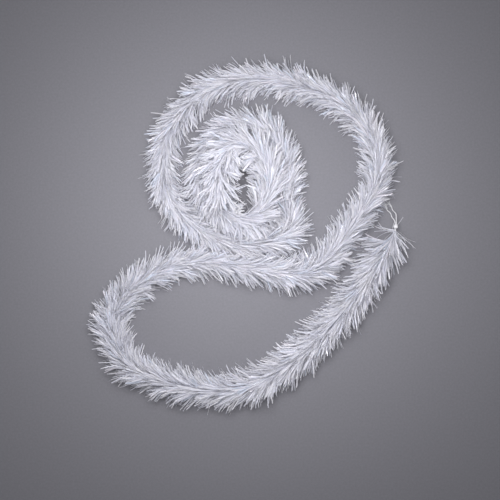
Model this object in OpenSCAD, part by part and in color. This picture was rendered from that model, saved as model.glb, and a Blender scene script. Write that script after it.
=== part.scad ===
// Tinsel feather boa, laid down on a flat surface: an open S of loose loops that
// winds into a two-turn coil. Two core strands run the whole length side by side.
// The fringe of film strips that they grip is drawn as short soft sections.
// Millimetres. +Z is up, and the surface that the boa lies on is z = 0.
// The origin is on that surface, under the middle of the boa.

/* [Core] */
// Diameter of each of the two core strands
strand_d = 1.2; // [0.8:0.1:1.4]
// Clear space between the pair of strands and the fringe around them
bore_gap = 0.3; // [0.2:0.1:0.6]

/* [Fringe] */
// Radius of the packed fringe on the long open loops
loop_fringe_r = 15; // [10:1:15]
// Radius of the packed fringe in the coil, where the turns lie close together
coil_fringe_r = 13; // [8:1:13]

/* [End ties] */
// Outer diameter of the thread whipping that binds the strands at each end
tie_d = 4.8; // [4:0.2:6]
// Length of each whipping along the strands
tie_len = 5; // [3:0.5:7]
// Space between a whipping and the first of the fringe
tie_gap = 1; // [0.5:0.5:2]

/* [Hidden] */
// The route of the core, free end first. Each list is one stretch of the boa as it lies.
free_thread_route = [[167, 37, 1]];
tail_route = [[173, 6, 14], [141, -52, 14], [99, -107, 14], [49, -154, 14]];
lower_loop_route = [
    [-13, -187, 14], [-81, -184, 14], [-145, -160, 14], [-169, -104, 14], [-128, -53, 14]];
middle_route = [[-64, -33, 14], [4, -42, 14], [70, -46, 14]];
outer_loop_route = [
    [119, 7, 14], [151, 68, 14], [136, 132, 14], [77, 174, 14],
    [8, 187, 14], [-61, 170, 14], [-103, 114, 14], [-102, 44, 14]];
lower_coil_route = [
    [-52, -1, 13], [-19, -12, 12], [14, -10, 12], [45, 2, 12], [40, 36, 12],
    [42, 68, 12], [37, 98, 12], [19, 124, 12], [-12, 132, 12], [-42, 118, 12]];
upper_coil_route = [
    [-59, 91, 12], [-60, 61, 14], [-46, 34, 19], [-22, 18, 23], [5, 22, 26],
    [19, 46, 28], [19, 76, 31], [3, 100, 34], [-22, 103, 37], [-38, 77, 41]];
inner_end_route = [[-34, 46, 43], [-17, 28, 39]];
route = concat(free_thread_route, tail_route, lower_loop_route, middle_route,
    outer_loop_route, lower_coil_route, upper_coil_route, inner_end_route);

// Rings on each span between two route points
span_rings = 2;
strand_sides = 8;
fringe_sides = 12;
// The strands touch but don't overlap
strand_offset = strand_d / 2 + 0.02;
bore_half_w = strand_offset + strand_d / 2 + bore_gap;
bore_half_h = strand_d / 2 + bore_gap;
tie_bore_r = strand_offset + strand_d / 2 + 0.1;

// Runs of fringe: name, sections, route spans in each section, radius
RUNS = [
    ["tail_fringe", 4, 1, loop_fringe_r],
    ["lower_loop_fringe", 5, 1, loop_fringe_r],
    ["middle_fringe", 3, 1, loop_fringe_r],
    ["outer_loop_fringe", 8, 1, loop_fringe_r],
    ["lower_coil_fringe", 5, 2, coil_fringe_r],
    ["upper_coil_fringe", 5, 2, coil_fringe_r]];

// Route point where a run starts. The fringe begins at the second route point.
function run_start(r) = r == 0 ? 1 : run_start(r - 1) + RUNS[r - 1][1] * RUNS[r - 1][2];

// Sections of fringe: name, first ring, last ring, radius
SECTIONS = [
    for (r = [0:len(RUNS) - 1], k = [0:RUNS[r][1] - 1])
        let (spans = RUNS[r][2], first = run_start(r) + k * spans)
            [str(RUNS[r][0], "_", k + 1), first * span_rings,
                (first + spans) * span_rings, RUNS[r][3]]];

// A smooth curve through the route points, at part t of the span after point i
function on_route(i, t) =
    let (
        p0 = route[max(i - 1, 0)], p1 = route[i],
        p2 = route[i + 1], p3 = route[min(i + 2, len(route) - 1)])
    (2 * p1 + (p2 - p0) * t + (2 * p0 - 5 * p1 + 4 * p2 - p3) * t * t
        + (3 * p1 - p0 - 3 * p2 + p3) * t * t * t) / 2;

centres = concat(
    [for (i = [0:len(route) - 2], k = [0:span_rings - 1]) on_route(i, k / span_rings)],
    [route[len(route) - 1]]);
last_ring = len(centres) - 1;

function unit(v) = v / norm(v);
function along(i) = unit(centres[min(i + 1, last_ring)] - centres[max(i - 1, 0)]);
function across(i) = unit(cross([0, 0, 1], along(i)));
function above(i) = cross(along(i), across(i));
function on_surface(p) = [p.x, p.y, max(p.z, 0)];

// A ring of points round the route: an ellipse, offset sideways, flat where it meets z = 0
function ring(i, half_w, half_h, sides, offset = 0) = [
    for (k = [0:sides - 1])
        let (a = (k + 0.5) * 360 / sides)
            on_surface(centres[i] + across(i) * (offset + half_w * cos(a))
                + above(i) * (half_h * sin(a)))];

// Two triangles for each side between ring i and ring i + 1 of one skin
function skin(n_rings, sides, start, inward) = [
    for (i = [0:n_rings - 2], k = [0:sides - 1])
        let (
            a = start + i * sides + k, b = start + i * sides + (k + 1) % sides,
            c = a + sides, d = b + sides)
        each inward ? [[a, c, b], [b, c, d]] : [[a, b, c], [b, d, c]]];

// A solid rod through a list of rings
module rod(rings) {
    sides = len(rings[0]);
    last = (len(rings) - 1) * sides;
    polyhedron(
        points = [for (r = rings) each r],
        faces = concat(
            skin(len(rings), sides, 0, false),
            [for (k = [1:sides - 2]) [0, k + 1, k]],
            [for (k = [1:sides - 2]) [last, last + k, last + k + 1]]));
}

// A tube between two lists of rings with the same number of sides
module sleeve(outer, inner) {
    sides = len(outer[0]);
    inner_0 = len(outer) * sides;
    last = (len(outer) - 1) * sides;
    polyhedron(
        points = concat([for (r = outer) each r], [for (r = inner) each r]),
        faces = concat(
            skin(len(outer), sides, 0, false),
            skin(len(inner), sides, inner_0, true),
            [for (k = [0:sides - 1])
                let (m = (k + 1) % sides)
                each [[k, inner_0 + k, m], [m, inner_0 + k, inner_0 + m]]],
            [for (k = [0:sides - 1])
                let (m = (k + 1) % sides, a = last, b = inner_0 + last)
                each [[a + k, a + m, b + k], [a + m, b + m, b + k]]]));
}

module core_strand(side) {
    rod([for (i = [0:last_ring])
        ring(i, strand_d / 2, strand_d / 2, strand_sides, side * strand_offset)]);
}

module core_strand_a() color([0.86, 0.86, 0.84]) core_strand(1);
module core_strand_b() color([0.82, 0.82, 0.81]) core_strand(-1);

module fringe_section(first, last, r) {
    color([0.93, 0.94, 0.96])
        sleeve(
            [for (i = [first:last]) ring(i, r, r, fringe_sides)],
            [for (i = [first:last]) ring(i, bore_half_w, bore_half_h, fringe_sides)]);
}

// A whipping round both strands, beside ring i and away from the fringe
module end_tie(i, beyond) {
    run = unit(centres[beyond] - centres[i]);
    color([0.80, 0.80, 0.79])
        translate(centres[i] + run * tie_gap)
            rotate([0, acos(run.z), atan2(run.y, run.x)])
                difference() {
                    cylinder(h = tie_len, d = tie_d, $fn = 48);
                    translate([0, 0, -1])
                        cylinder(h = tie_len + 2, r = tie_bore_r, $fn = 32);
                }
}

fringe_first = SECTIONS[0][1];
fringe_last = SECTIONS[len(SECTIONS) - 1][2];
module end_tie_outer() end_tie(fringe_first, fringe_first - 1);
module end_tie_inner() end_tie(fringe_last, fringe_last + 1);

core_strand_a();
core_strand_b();
end_tie_outer();
end_tie_inner();
for (s = SECTIONS)
    fringe_section(s[1], s[2], s[3]);
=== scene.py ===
"""Looks for the tinsel feather boa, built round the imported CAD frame. Metres, +Z up.

The core is two thread strands twisted together. They grip about thirty thousand narrow
film strips, which stand out all round in a spiral brush and lean towards the coiled end.
"""
import math

import bpy
import numpy as np
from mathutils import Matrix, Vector


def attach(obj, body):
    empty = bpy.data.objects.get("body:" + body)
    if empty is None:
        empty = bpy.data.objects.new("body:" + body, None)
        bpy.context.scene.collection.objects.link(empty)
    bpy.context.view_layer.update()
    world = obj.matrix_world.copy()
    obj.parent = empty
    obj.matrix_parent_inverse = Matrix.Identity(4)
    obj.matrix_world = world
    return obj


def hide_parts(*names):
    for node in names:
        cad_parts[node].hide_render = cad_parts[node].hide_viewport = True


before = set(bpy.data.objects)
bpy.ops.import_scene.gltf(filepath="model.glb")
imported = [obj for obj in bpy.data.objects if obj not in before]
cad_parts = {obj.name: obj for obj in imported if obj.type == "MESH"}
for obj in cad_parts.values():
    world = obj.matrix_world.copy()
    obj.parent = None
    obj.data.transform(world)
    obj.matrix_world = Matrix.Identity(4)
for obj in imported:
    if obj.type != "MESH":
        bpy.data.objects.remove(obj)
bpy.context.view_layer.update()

MM = 0.001
SEED = 20481
FULL_TURN = 2 * math.pi

# ---------------------------------------------------------------- route of the core
# The points are those of the CAD route, free end first.
FREE_THREAD = [(0.167, 0.037, 0.001)]
TAIL = [(0.173, 0.006, 0.014), (0.141, -0.052, 0.014), (0.099, -0.107, 0.014),
        (0.049, -0.154, 0.014)]
LOWER_LOOP = [(-0.013, -0.187, 0.014), (-0.081, -0.184, 0.014), (-0.145, -0.160, 0.014),
              (-0.169, -0.104, 0.014), (-0.128, -0.053, 0.014)]
MIDDLE = [(-0.064, -0.033, 0.014), (0.004, -0.042, 0.014), (0.070, -0.046, 0.014)]
OUTER_LOOP = [(0.119, 0.007, 0.014), (0.151, 0.068, 0.014), (0.136, 0.132, 0.014),
              (0.077, 0.174, 0.014), (0.008, 0.187, 0.014), (-0.061, 0.170, 0.014),
              (-0.103, 0.114, 0.014), (-0.102, 0.044, 0.014)]
LOWER_COIL = [(-0.052, -0.001, 0.013), (-0.019, -0.012, 0.012), (0.014, -0.010, 0.012),
              (0.045, 0.002, 0.012), (0.040, 0.036, 0.012), (0.042, 0.068, 0.012),
              (0.037, 0.098, 0.012), (0.019, 0.124, 0.012), (-0.012, 0.132, 0.012),
              (-0.042, 0.118, 0.012)]
UPPER_COIL = [(-0.059, 0.091, 0.012), (-0.060, 0.061, 0.014), (-0.046, 0.034, 0.019),
              (-0.022, 0.018, 0.023), (0.005, 0.022, 0.026), (0.019, 0.046, 0.028),
              (0.019, 0.076, 0.031), (0.003, 0.100, 0.034), (-0.022, 0.103, 0.037),
              (-0.038, 0.077, 0.041)]
INNER_END = [(-0.034, 0.046, 0.043), (-0.017, 0.028, 0.039)]
ROUTE = (FREE_THREAD + TAIL + LOWER_LOOP + MIDDLE + OUTER_LOOP + LOWER_COIL + UPPER_COIL
         + INNER_END)
FRINGE_START = 1
# Runs of fringe: CAD name, sections, route spans in each section, how long its strips are
RUNS = [("tail_fringe", 4, 1, 1.08), ("lower_loop_fringe", 5, 1, 1.02),
        ("middle_fringe", 3, 1, 1.0), ("outer_loop_fringe", 8, 1, 0.93),
        ("lower_coil_fringe", 5, 2, 1.0), ("upper_coil_fringe", 5, 2, 1.0)]

# ---------------------------------------------------------------- core and end ties
STRAND_D = 1.2 * MM
STRAND_OFFSET = 0.62 * MM          # from the core's centre line to a strand's
PLY_PITCH = 9 * MM                 # one turn of the two strands round each other
YARN_PITCH = 4 * MM                # one turn of the three yarns in a strand
YARNS = 3
FRAY_FIBRES = 22                   # loose fibres at each end of a strand
FRAY_LEN = 8 * MM
FRAY_D = 0.22 * MM
FRAY_STEPS = 6
FRAY_FROM = 12                     # fibres start within this many points of a strand's end
END_SPREAD = 2.6 * MM              # each loose strand end, sideways from the centre line
END_WAVE = 0.7 * MM
END_WAVE_LEN = 14 * MM
TIE_LEN = 5 * MM
TIE_GAP = 1 * MM
TIE_THREAD_D = 0.72 * MM
TIE_LAYER = 0.6 * MM               # the outer layer of the winding, out from the inner one
TIE_MARGIN = 0.07                  # of the tie's length that is left bare at each end
POINTS_PER_TURN = 20
STEP_OUT = 0.04                    # of the thread's run, in which it climbs to the outer layer
TUCK_TURNS = 0.4                   # of the winding, in which each thread end dips inside
TUCK_DEPTH = 0.3                   # of the radius, that a tucked end is left at
LOOSE_END = 14 * MM                # the strands part over this length past a tie
TIE_TURNS = 14                     # half of them out along the tie, half back over those

# ---------------------------------------------------------------- film strips
STRIP_LEN = 29.5 * MM
MAX_REACH = 29 * MM                # of a strip, straight out from the core, give or take LEAF_REACH
STRIP_W = 1.1 * MM
STRIP_T = 0.09 * MM
STRIP_SEGMENTS = 5
LEAVES_PER_M = 3700                # film leaves along the core, each cut into strips
STRIPS_PER_LEAF = 4
STRIP_GAP = 0.5 * MM               # between the roots of neighbouring strips of a leaf
STRIP_ROOT = 0.7 * MM              # from the core's centre line to where a strip starts
SHARES_OF_LEN = (0.62, 0.98, 1.15)  # shortest, commonest and longest, of STRIP_LEN
SHARES_OF_W = (0.75, 1.2)          # narrowest and widest, of STRIP_W
CUT_SLANT = 0.9 * MM               # at most, of the cut across a strip's tip
DROOP = (0.25, 0.15)               # least droop of a strip, and how much more at most
SWEEP = 0.05
TOP_SWEEP = 0.3                    # more sweep for leaves on top of the core
BRUSH_PITCH = 20 * MM              # one turn of the spiral brush
LEAN = math.radians(46)            # towards the coiled end
TOP_LEAN = math.radians(4)         # more lean for leaves on top
INWARD_LEAN = math.radians(38)     # less lean for leaves crowded inside a tight bend
FLOOR_CLEAR = 0.3 * MM
LYING_Z = FLOOR_CLEAR + 0.4 * MM   # of the middle of a strip that lies on the floor
CLEAR_SHARE = 0.10                 # leaves of clear film among the white ones
GAP_CENTRE = (-0.0055, 0.036)      # the coil's turns part here and the floor shows
GAP_SIZE = (0.011, 0.018)
TIGHT_BEND = 12                    # bend, in 1/m, above which the inner strips crowd in
BEND_RANGE = 8                     # past TIGHT_BEND, until they crowd in fully
THIN_END = 16 * MM                 # the brush gets thinner over this length at each end
THIN_SHARE = 0.25                  # share of the leaves that is left at the very end
LOOSE_START = 12 * MM              # the strips spread wide over this length at the free end
# Spread, as a standard deviation, of the leaves and then of the strips within a leaf
LEAF_TURN = math.radians(44)
LEAF_LEAN = math.radians(11)
LEAF_ROLL = math.radians(75)
LEAF_SWEEP = 0.22
LEAF_LEN = 0.08
LEAF_REACH = 1.3 * MM
LOOSE_LEAN = (math.radians(4), math.radians(26))    # mean and spread added where loose
STRIP_TURN = math.radians(9)
STRIP_LEAN = math.radians(6)
STRIP_ROLL = math.radians(18)
STRIP_TWIST = math.radians(45)
STRIP_SWEEP = 0.12


def spline(points, steps):
    """A smooth curve through the points, with that many steps to a span."""
    p = np.array([points[0]] + points + [points[-1]], float)
    t = (np.arange(steps) / steps)[:, None]
    spans = []
    for p0, p1, p2, p3 in zip(p, p[1:], p[2:], p[3:]):
        spans.append(0.5 * (2 * p1 + (p2 - p0) * t + (2 * p0 - 5 * p1 + 4 * p2 - p3) * t**2
                            + (3 * p1 - p0 - 3 * p2 + p3) * t**3))
    return np.vstack(spans + [p[-1:]])


def unit(v):
    return v / np.maximum(np.linalg.norm(v, axis=-1, keepdims=True), 1e-12)


SPAN_STEPS = 48
UP = np.array([0.0, 0.0, 1.0])
line = spline(ROUTE, SPAN_STEPS)
line_s = np.concatenate([[0], np.cumsum(np.linalg.norm(np.diff(line, axis=0), axis=1))])
line_along = unit(np.gradient(line, line_s, axis=0))
line_bend = np.linalg.norm(np.gradient(line_along, line_s, axis=0), axis=1)
point_s = line_s[::SPAN_STEPS]
core_length = line_s[-1]


def on_line(s, table):
    return np.stack([np.interp(s, line_s, table[:, k]) for k in range(3)], axis=-1)


def core_frame(s):
    """The core's centre, and unit vectors along it, across it and above it."""
    along = unit(on_line(s, line_along))
    across = unit(np.cross(UP, along))
    return on_line(s, line), along, across, np.cross(along, across)


# ---------------------------------------------------------------- materials
def material(name, **sockets):
    """A new material with its shader's plain settings, its nodes and its links."""
    mat = bpy.data.materials.new(name)
    mat.use_nodes = True
    nodes = mat.node_tree.nodes
    shader = nodes["Principled BSDF"]
    for socket, value in sockets.items():
        shader.inputs[socket.replace("_", " ")].default_value = value
    return mat, nodes, mat.node_tree.links, shader


def noise(nodes, links, vector, scale, detail=3):
    node = nodes.new("ShaderNodeTexNoise")
    node.inputs["Scale"].default_value = scale
    node.inputs["Detail"].default_value = detail
    links.new(vector, node.inputs["Vector"])
    return node.outputs["Fac"]


def ramp(nodes, links, value, low, high):
    """Colours or greys from low to high, as the value goes from 0.3 to 0.7."""
    node = nodes.new("ShaderNodeValToRGB")
    node.color_ramp.elements[0].position = 0.3
    node.color_ramp.elements[1].position = 0.7
    node.color_ramp.elements[0].color = (*low, 1) if len(low) == 3 else (low[0],) * 3 + (1,)
    node.color_ramp.elements[1].color = (*high, 1) if len(high) == 3 else (high[0],) * 3 + (1,)
    links.new(value, node.inputs["Fac"])
    return node.outputs["Color"]


def bump(nodes, links, shader, height, strength, distance):
    node = nodes.new("ShaderNodeBump")
    node.inputs["Strength"].default_value = strength
    node.inputs["Distance"].default_value = distance
    links.new(height, node.inputs["Height"])
    links.new(node.outputs["Normal"], shader.inputs["Normal"])


def film_material(name, cool, warm, rough, **sockets):
    """Thin film: a tint that differs from strip to strip, streaks drawn along it, gloss."""
    mat, nodes, links, shader = material(name, **sockets)
    tint = nodes.new("ShaderNodeAttribute")
    tint.attribute_name = "strip_tint"
    coords = nodes.new("ShaderNodeTexCoord")
    links.new(ramp(nodes, links, tint.outputs["Fac"], cool, warm), shader.inputs["Base Color"])
    cloudy = noise(nodes, links, coords.outputs["Object"], 260)
    links.new(ramp(nodes, links, cloudy, (rough[0],), (rough[1],)), shader.inputs["Roughness"])
    stretch = nodes.new("ShaderNodeMapping")
    stretch.inputs["Scale"].default_value = (6, 1, 1)
    links.new(coords.outputs["UV"], stretch.inputs["Vector"])
    drawn = noise(nodes, links, stretch.outputs["Vector"], 5)
    bump(nodes, links, shader, drawn, 0.3, 0.2 * MM)
    return mat


def thread_material(name, low, high):
    """Matt twisted thread: fine fibres run round it, and it is a little uneven in colour."""
    mat, nodes, links, shader = material(name, Sheen_Weight=0.4, Sheen_Roughness=0.5)
    coords = nodes.new("ShaderNodeTexCoord")
    patchy = noise(nodes, links, coords.outputs["Object"], 900)
    links.new(ramp(nodes, links, patchy, low, high), shader.inputs["Base Color"])
    links.new(ramp(nodes, links, patchy, (0.7,), (0.9,)), shader.inputs["Roughness"])
    fibres = nodes.new("ShaderNodeTexWave")
    fibres.inputs["Scale"].default_value = 5
    fibres.inputs["Distortion"].default_value = 1.5
    turn = nodes.new("ShaderNodeMapping")
    turn.inputs["Rotation"].default_value = (0, 0, math.radians(35))
    links.new(coords.outputs["UV"], turn.inputs["Vector"])
    links.new(turn.outputs["Vector"], fibres.inputs["Vector"])
    bump(nodes, links, shader, fibres.outputs["Fac"], 0.6, 0.1 * MM)
    return mat


WHITE_FILM = film_material(
    "milky_film", (0.88, 0.89, 0.98), (0.95, 0.94, 0.98), (0.26, 0.42),
    Alpha=0.70, Coat_Weight=0.12, Coat_Roughness=0.15, Specular_IOR_Level=0.5,
    Subsurface_Weight=0.6, Subsurface_Scale=0.001, Subsurface_Radius=(1, 1, 1))
CLEAR_FILM = film_material(
    "glassy_film", (0.82, 0.88, 0.98), (0.96, 0.93, 0.98), (0.03, 0.09),
    Alpha=0.55, Specular_IOR_Level=1.0)
CORE_THREAD = thread_material("twisted_thread", (0.66, 0.66, 0.67), (0.84, 0.84, 0.85))
TIE_THREAD = thread_material("winding_thread", (0.70, 0.70, 0.71), (0.88, 0.88, 0.89))


# ---------------------------------------------------------------- mesh building
def new_mesh(name, verts, faces, mat, uv=None, sharp_deg=35):
    """A smooth-shaded object from (n, 3) vertices and (m, 4) faces, with a uv per corner."""
    mesh = bpy.data.meshes.new(name)
    mesh.from_pydata(verts.tolist(), [], faces)
    if uv is not None:
        layer = mesh.uv_layers.new(name="strip_uv")
        layer.data.foreach_set("uv", np.asarray(uv, np.float32).ravel())
    mesh.materials.append(mat)
    mesh.shade_smooth()
    mesh.set_sharp_from_angle(angle=math.radians(sharp_deg))
    obj = bpy.data.objects.new(name, mesh)
    bpy.context.scene.collection.objects.link(obj)
    return obj


def tube(name, path, side, radius, sides, mat, lobes=0, lobe_turn=None):
    """A closed tube along path. side is a vector near each point that isn't along the path.
    With lobes, its section is that many rounded yarns, turned by lobe_turn at each point."""
    along = unit(np.gradient(path, axis=0))
    right = unit(np.cross(side, along))
    over = np.cross(along, right)
    a = np.arange(sides) * FULL_TURN / sides
    r = np.full((len(path), sides), radius)
    if lobes:
        r *= 0.88 + 0.12 * np.cos(lobes * (a[None, :] - lobe_turn[:, None]))
    ring = (path[:, None, :] + r[..., None] * (np.cos(a)[None, :, None] * right[:, None, :]
            + np.sin(a)[None, :, None] * over[:, None, :]))
    n = len(path)
    k = np.arange(sides)
    base = (np.arange(n - 1) * sides)[:, None]
    quads = np.stack([base + k, base + (k + 1) % sides, base + sides + (k + 1) % sides,
                      base + sides + k], axis=-1).reshape(-1, 4)
    faces = quads.tolist() + [k[::-1].tolist(), ((n - 1) * sides + k).tolist()]
    gaps = np.linalg.norm(np.diff(path, axis=0), axis=1)
    v = np.concatenate([[0], np.cumsum(gaps)]) / (FULL_TURN * radius)
    corner_u = np.tile(np.stack([k, k + 1, k + 1, k], -1) / sides, (n - 1, 1))
    corner_v = np.repeat(np.stack([v[:-1], v[:-1], v[1:], v[1:]], -1), sides, axis=0)
    uv = np.stack([corner_u, corner_v], -1).reshape(-1, 2)
    uv = np.vstack([uv, np.zeros((2 * sides, 2))])
    return new_mesh(name, ring.reshape(-1, 3), faces, mat, uv, sharp_deg=50)


# ---------------------------------------------------------------- core strands
fringe_from = point_s[FRINGE_START]
fringe_to = point_s[FRINGE_START + sum(n * spans for _, n, spans, _ in RUNS)]
tie_from = fringe_from - TIE_GAP - TIE_LEN
tie_to = fringe_to + TIE_GAP + TIE_LEN


def core_strand(name, node, turn, wave_turn):
    """One strand: twisted round the other between the ties, loose and wavy past them."""
    s = np.arange(0, core_length, 0.75 * MM)
    centre, along, across, above = core_frame(s)
    loose = np.clip(np.maximum(tie_from - s, s - tie_to) / LOOSE_END, 0, 1)
    angle = FULL_TURN * np.clip(s, tie_from, tie_to) / PLY_PITCH + turn
    path = centre + STRAND_OFFSET * (np.cos(angle)[:, None] * across
                                     + np.sin(angle)[:, None] * above)
    wave = math.cos(turn) * END_SPREAD + END_WAVE * np.sin(FULL_TURN * s / END_WAVE_LEN + wave_turn)
    path += (wave * loose)[:, None] * across
    path[:, 2] = np.maximum(path[:, 2], STRAND_D / 2 + 0.05 * MM)
    obj = tube(name, path, above, STRAND_D / 2, 9, CORE_THREAD, YARNS,
               FULL_TURN * s / YARN_PITCH)
    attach(obj, "root")
    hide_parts(node)
    return path


# ---------------------------------------------------------------- camera
CAMERA_HEIGHT = 0.560
VIEW_WIDTH = 0.604                  # seen at the height of the core
CORE_Z = 0.014
camera_data = bpy.data.cameras.new("camera")
camera_data.sensor_width = 36
camera_data.lens = 36 * (CAMERA_HEIGHT - CORE_Z) / VIEW_WIDTH
camera = bpy.data.objects.new("camera", camera_data)
camera.location = (-0.0026, -0.0191, CAMERA_HEIGHT)
bpy.context.scene.collection.objects.link(camera)
bpy.context.scene.camera = camera

strand_a = core_strand("core_strand_a_twisted", "core_strand_a", 0, 0)
strand_b = core_strand("core_strand_b_twisted", "core_strand_b", math.pi, 2.2)


def end_tie(name, node, start, end):
    """Thread wound tight round both strands and back over itself, its ends tucked in."""
    u = np.linspace(0, 1, TIE_TURNS * POINTS_PER_TURN + 1)
    back = np.clip((u - 0.5) / STEP_OUT, 0, 1)
    out_and_back = 1 - np.abs(2 * u - 1)
    s = start + (end - start) * (TIE_MARGIN + (1 - 2 * TIE_MARGIN) * out_and_back)
    centre, along, across, above = core_frame(s)
    angle = FULL_TURN * TIE_TURNS * u
    from_strands = angle - FULL_TURN * s / PLY_PITCH
    beside = STRAND_D / 2 + TIE_THREAD_D / 2
    round_strand = (STRAND_OFFSET * np.abs(np.cos(from_strands))
                    + np.sqrt(beside**2 - (STRAND_OFFSET * np.sin(from_strands)) ** 2))
    between = beside / np.abs(np.sin(from_strands)).clip(0.1)
    at_strand = round_strand * np.abs(np.cos(from_strands)) > STRAND_OFFSET
    radius = np.where(at_strand, round_strand, between) + TIE_LAYER * back
    from_end = np.clip(np.minimum(u, 1 - u) * TIE_TURNS / TUCK_TURNS, 0, 1)
    radius = radius * (TUCK_DEPTH + (1 - TUCK_DEPTH) * from_end)
    out = np.cos(angle)[:, None] * across + np.sin(angle)[:, None] * above
    winding = tube(name, centre + radius[:, None] * out, along, TIE_THREAD_D / 2, 8, TIE_THREAD)
    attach(winding, "root")
    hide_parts(node)


end_tie("end_tie_outer_winding", "end_tie_outer", tie_from, tie_from + TIE_LEN)
end_tie("end_tie_inner_winding", "end_tie_inner", tie_to - TIE_LEN, tie_to)


# ---------------------------------------------------------------- film strips
def strip_rings(s, phase, lean, roll, twist, sweep, droop, length, width, cut):
    """Rings of four corners along each strip, shape (n, rings, 4, 3).

    A strip leaves the core at angle phase round it and lean along it. It bends by sweep
    in its own plane, droops, and slides along the floor where it meets it.
    """
    centre, along, across, above = core_frame(s)
    radial = np.cos(phase)[:, None] * across + np.sin(phase)[:, None] * above
    heading = np.cos(lean)[:, None] * radial + np.sin(lean)[:, None] * along
    flat = np.cos(lean)[:, None] * along - np.sin(lean)[:, None] * radial
    face = np.cross(heading, flat)
    point = centre + radial * STRIP_ROOT
    step = (length / STRIP_SEGMENTS)[:, None]
    rings = []
    for k in range(STRIP_SEGMENTS + 1):
        u = k / STRIP_SEGMENTS
        way = unit(heading + flat * (sweep * u)[:, None] - UP * (droop * u * u)[:, None])
        if k:
            nxt = point + way * step
            low = nxt[:, 2] < LYING_Z
            drop = np.where(low, LYING_Z - point[:, 2], way[:, 2] * step[:, 0])
            drop = np.clip(drop, -0.98 * step[:, 0], 0.98 * step[:, 0])
            ahead = way * [1, 1, 0] + along * 1e-3
            ahead = unit(ahead * [1, 1, 0]) * np.sqrt(step[:, 0] ** 2 - drop**2)[:, None]
            move = np.where(low[:, None], ahead + drop[:, None] * UP, way * step)
            point = point + move
            way = unit(move)
        angle = roll + twist * u
        broad = np.cos(angle)[:, None] * flat + np.sin(angle)[:, None] * face
        lying = np.clip((point[:, 2] - FLOOR_CLEAR) / (3 * MM), 0.05, 1)
        broad = broad * np.stack([np.ones_like(lying), np.ones_like(lying), lying], -1)
        broad = unit(broad - way * np.sum(broad * way, axis=1, keepdims=True))
        thin = np.cross(way, broad)
        last = k == STRIP_SEGMENTS
        half_w = broad * (width * (0.40 if last else 0.5))[:, None]
        half_t = thin * STRIP_T / 2
        slant = way * cut[:, None] if last else 0 * way
        rings.append(np.stack([point + half_w + half_t + slant, point - half_w + half_t - slant,
                               point - half_w - half_t - slant, point + half_w - half_t + slant],
                              axis=1))
    rings = np.stack(rings, axis=1)
    rings[..., 2] = np.maximum(rings[..., 2], 0.05 * MM)
    return rings


def volumes(rings):
    """The volume in each strip. It is below zero where the floor has folded one over."""
    rings = rings - rings[:, :1, :1]

    def under(a, b, c, d):
        return (a * (np.cross(b, c) + np.cross(c, d))).sum(-1) / 6

    low, high = rings[:, :-1], rings[:, 1:]
    sides = under(low, np.roll(low, -1, 2), np.roll(high, -1, 2), high).sum((1, 2))
    first, last = rings[:, 0], rings[:, -1]
    return (sides + under(first[:, 3], first[:, 2], first[:, 1], first[:, 0])
            + under(last[:, 0], last[:, 1], last[:, 2], last[:, 3]))


def strips_object(name, rings, tint, mat):
    """One mesh of closed strips, four sides and two ends each."""
    n, count = rings.shape[:2]
    base = (np.arange(n) * count * 4)[:, None, None]
    ring = (np.arange(count - 1) * 4)[None, :, None]
    k = np.arange(4)
    m = (k + 1) % 4
    sides = np.stack([base + ring + k, base + ring + m, base + ring + 4 + m,
                      base + ring + 4 + k], axis=-1).reshape(-1, 4)
    first = base[:, 0, 0][:, None] + np.array([3, 2, 1, 0])
    last = base[:, 0, 0][:, None] + (count - 1) * 4 + k
    faces = np.vstack([sides, first, last])
    u = np.array([[0, 1, 1, 0], [0, 0.1, 0.1, 0], [1, 0, 0, 1], [0, 0.1, 0.1, 0]])
    v = np.arange(count - 1)[:, None] + np.array([0, 0, 1, 1])[None, :]
    uv = np.stack([np.broadcast_to(u[None], (count - 1, 4, 4)),
                   np.broadcast_to(v[:, None], (count - 1, 4, 4)) / 2.0], axis=-1)
    shift = (tint * 37)[:, None, None, None, None]
    uv = np.broadcast_to(uv[None], (n, count - 1, 4, 4, 2)) + shift
    uv = np.vstack([uv.reshape(-1, 2), np.zeros((8 * n, 2))])
    obj = new_mesh(name, rings.reshape(-1, 3), faces.tolist(), mat, uv)
    layer = obj.data.attributes.new("strip_tint", "FLOAT", "POINT")
    layer.data.foreach_set("value", np.repeat(tint, count * 4).astype(np.float32))
    return obj


def frayed_ends(name, node, path, rng):
    """Loose fibres at both ends of a strand, splayed round the way that the end points."""
    count = 2 * FRAY_FIBRES
    ends = np.repeat([0, -1], FRAY_FIBRES)
    inner = np.repeat([FRAY_FROM, -1 - FRAY_FROM], FRAY_FIBRES)
    ahead = unit(path[ends] - path[inner])
    back = 0.7 * rng.random(count)[:, None] ** 2
    point = path[ends] - (path[ends] - path[inner]) * back
    way = unit(ahead + rng.normal(0, 0.28, (count, 3)))
    bend = rng.normal(0, 0.14, (count, 3))
    length = FRAY_LEN * rng.uniform(0.5, 1.0, count)
    rings = []
    for _ in range(FRAY_STEPS + 1):
        broad = unit(np.cross(way, UP)) * FRAY_D / 2
        over = unit(np.cross(broad, way)) * FRAY_D / 2
        corners = np.stack([point + broad, point - over, point - broad, point + over], axis=1)
        rings.append(corners)
        way = unit(way + bend * [1, 1, 0.3] - UP * 0.12)
        point = point + way * (length / FRAY_STEPS)[:, None]
        point[:, 2] = np.maximum(point[:, 2], FLOOR_CLEAR + FRAY_D / 2)
    fibres = strips_object(name, np.stack(rings, axis=1), rng.random(count), CORE_THREAD)
    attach(fibres, "root")
    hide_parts(node)


fray_rng = np.random.default_rng(SEED + 1)
frayed_ends("core_strand_a_frayed", "core_strand_a", strand_a, fray_rng)
frayed_ends("core_strand_b_frayed", "core_strand_b", strand_b, fray_rng)


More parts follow.
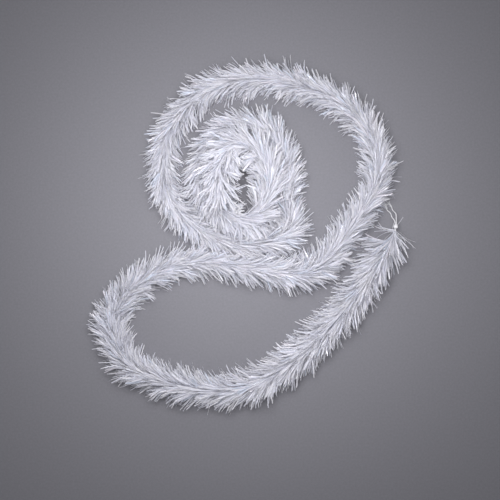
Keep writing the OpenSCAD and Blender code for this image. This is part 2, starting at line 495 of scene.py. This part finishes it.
def over_gap(s, phase, lean):
    """Which leaves would lie across the small gap in the middle of the coil."""
    centre, along, across, above = core_frame(s)
    radial = np.cos(phase)[:, None] * across + np.sin(phase)[:, None] * above
    heading = np.cos(lean)[:, None] * radial + np.sin(lean)[:, None] * along
    covers = np.zeros(len(s), bool)
    for reach in (0.5, 0.65, 0.8, 0.95):
        point = centre + heading * reach * STRIP_LEN
        covers |= np.hypot((point[:, 0] - GAP_CENTRE[0]) / (GAP_SIZE[0] / 2),
                           (point[:, 1] - GAP_CENTRE[1]) / (GAP_SIZE[1] / 2)) < 1
    return covers


def fringe(s_from, s_to, longer, rng):
    """Leaves of film gripped by the core from s_from to s_to, cut into strips.
    Returns the strips' rings, their tints, and which of them are clear film."""
    leaves = int(round((s_to - s_from) * LEAVES_PER_M))
    leaf_s = s_from + (np.arange(leaves) + rng.random(leaves)) * (s_to - s_from) / leaves
    near_end = np.minimum(leaf_s - fringe_from, fringe_to - leaf_s)
    leaf_s = leaf_s[rng.random(leaves) < np.clip(THIN_SHARE + near_end / THIN_END, 0, 1)]
    leaves = len(leaf_s)
    turn = FULL_TURN * leaf_s / BRUSH_PITCH + math.pi * rng.integers(0, 2, leaves)
    turn += rng.normal(0, LEAF_TURN, leaves)
    loose = np.clip(1 - (leaf_s - fringe_from) / LOOSE_START, 0, 1)
    on_top = np.clip(np.sin(turn), 0, 1)
    tight = np.clip((np.interp(leaf_s, line_s, line_bend) - TIGHT_BEND) / BEND_RANGE, 0, 1)
    inward = tight * np.clip(np.cos(turn) - on_top, 0, 1)
    lean = LEAN + rng.normal(0, LEAF_LEAN, leaves) + TOP_LEAN * on_top
    lean -= INWARD_LEAN * inward
    lean += loose * rng.normal(*LOOSE_LEAN, leaves)
    turn += math.pi * over_gap(leaf_s, turn, lean)
    roll = rng.normal(0, LEAF_ROLL, leaves)
    sweep = rng.normal(SWEEP, LEAF_SWEEP, leaves) + TOP_SWEEP * on_top
    leaf_long = rng.normal(1, LEAF_LEN, leaves).clip(0.8, 1.2)
    reach = MAX_REACH * (1 - 0.2 * on_top)
    reach += rng.normal(0, LEAF_REACH, leaves).clip(-3 * MM, 2.5 * MM)
    clear = rng.random(leaves) < CLEAR_SHARE

    n = leaves * STRIPS_PER_LEAF
    open_out = np.repeat(1 + 2.5 * loose, STRIPS_PER_LEAF)

    def each(values, spread):
        """One value for each strip: its leaf's, spread a little, and more where loose."""
        return np.repeat(values, STRIPS_PER_LEAF) + rng.normal(0, spread, n) * open_out

    order = np.tile(np.arange(STRIPS_PER_LEAF) - (STRIPS_PER_LEAF - 1) / 2, leaves)
    strip_s = np.clip(np.repeat(leaf_s, STRIPS_PER_LEAF) + order * STRIP_GAP, 0, core_length)
    strip_lean = each(lean, STRIP_LEAN)
    length = STRIP_LEN * longer * rng.triangular(*SHARES_OF_LEN, n)
    length *= np.repeat(leaf_long * (1 + 0.12 * inward), STRIPS_PER_LEAF)
    length = np.minimum(length, np.repeat(reach, STRIPS_PER_LEAF) / np.cos(strip_lean).clip(0.5))
    strip_turn = each(turn, STRIP_TURN)
    strip_roll = each(roll, STRIP_ROLL)
    twist = rng.normal(0, STRIP_TWIST, n)
    strip_sweep = each(sweep, STRIP_SWEEP)
    droop = DROOP[0] + DROOP[1] * rng.random(n)
    width = STRIP_W * rng.uniform(*SHARES_OF_W, n)
    width *= np.repeat(1 - 0.3 * loose, STRIPS_PER_LEAF)
    cut = rng.uniform(-1, 1, n) * CUT_SLANT
    rings = strip_rings(strip_s, strip_turn, strip_lean, strip_roll, twist, strip_sweep,
                        droop, length, width, cut)
    tint = rng.random(n)
    sound = volumes(rings) > 0
    return rings[sound], tint[sound], np.repeat(clear, STRIPS_PER_LEAF)[sound]


point = FRINGE_START
rng = np.random.default_rng(SEED)
for run, sections, spans, longer in RUNS:
    for number in range(1, sections + 1):
        node = f"{run}_{number}"
        rings, tint, clear = fringe(point_s[point], point_s[point + spans], longer, rng)
        point += spans
        for kind, chosen, mat in (("white", ~clear, WHITE_FILM),
                                  ("clear", clear, CLEAR_FILM)):
            name = f"{node}_{kind}_strips"
            strips = strips_object(name, rings[chosen], tint[chosen], mat)
            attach(strips, "root")
            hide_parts(node)


# ---------------------------------------------------------------- floor and light
FLOOR_HALF = 2.5
COOL_WHITE = (0.965, 0.96, 1)
SIDE_FILLS = [(-1.1, -0.7), (1.2, -0.5), (0.9, 1.1), (-0.9, 1.0)]


def plane(name, size, z):
    """A square, lightly speckled floor, twice size along each side."""
    verts = np.array([(-size, -size, z), (size, -size, z), (size, size, z), (-size, size, z)])
    mat, nodes, links, shader = material(name, Roughness=0.8)
    coords = nodes.new("ShaderNodeTexCoord")
    speckle = noise(nodes, links, coords.outputs["Object"], 400)
    links.new(ramp(nodes, links, speckle, (0.20, 0.198, 0.215), (0.225, 0.223, 0.24)),
              shader.inputs["Base Color"])
    new_mesh(name, verts, [[0, 1, 2, 3]], mat)


def area_light(name, location, size, power):
    data = bpy.data.lights.new(name, "AREA")
    data.size = size
    data.energy = power
    data.color = COOL_WHITE
    obj = bpy.data.objects.new(name, data)
    obj.location = location
    obj.rotation_euler = (-Vector(location)).to_track_quat("-Z", "Y").to_euler()
    obj.visible_camera = False
    bpy.context.scene.collection.objects.link(obj)


plane("floor", FLOOR_HALF, 0)
area_light("overhead_softbox", (-0.018, 0.045, 0.40), 0.24, 2.3)
for number, (x, y) in enumerate(SIDE_FILLS):
    area_light(f"side_fill_{number + 1}", (x, y, 0.42), 0.7, 1.9)
world = bpy.data.worlds.new("soft_room")
world.use_nodes = True
world.node_tree.nodes["Background"].inputs["Color"].default_value = (0.94, 0.94, 1, 1)
world.node_tree.nodes["Background"].inputs["Strength"].default_value = 0.16
bpy.context.scene.world = world
bpy.context.scene.view_settings.view_transform = "Standard"
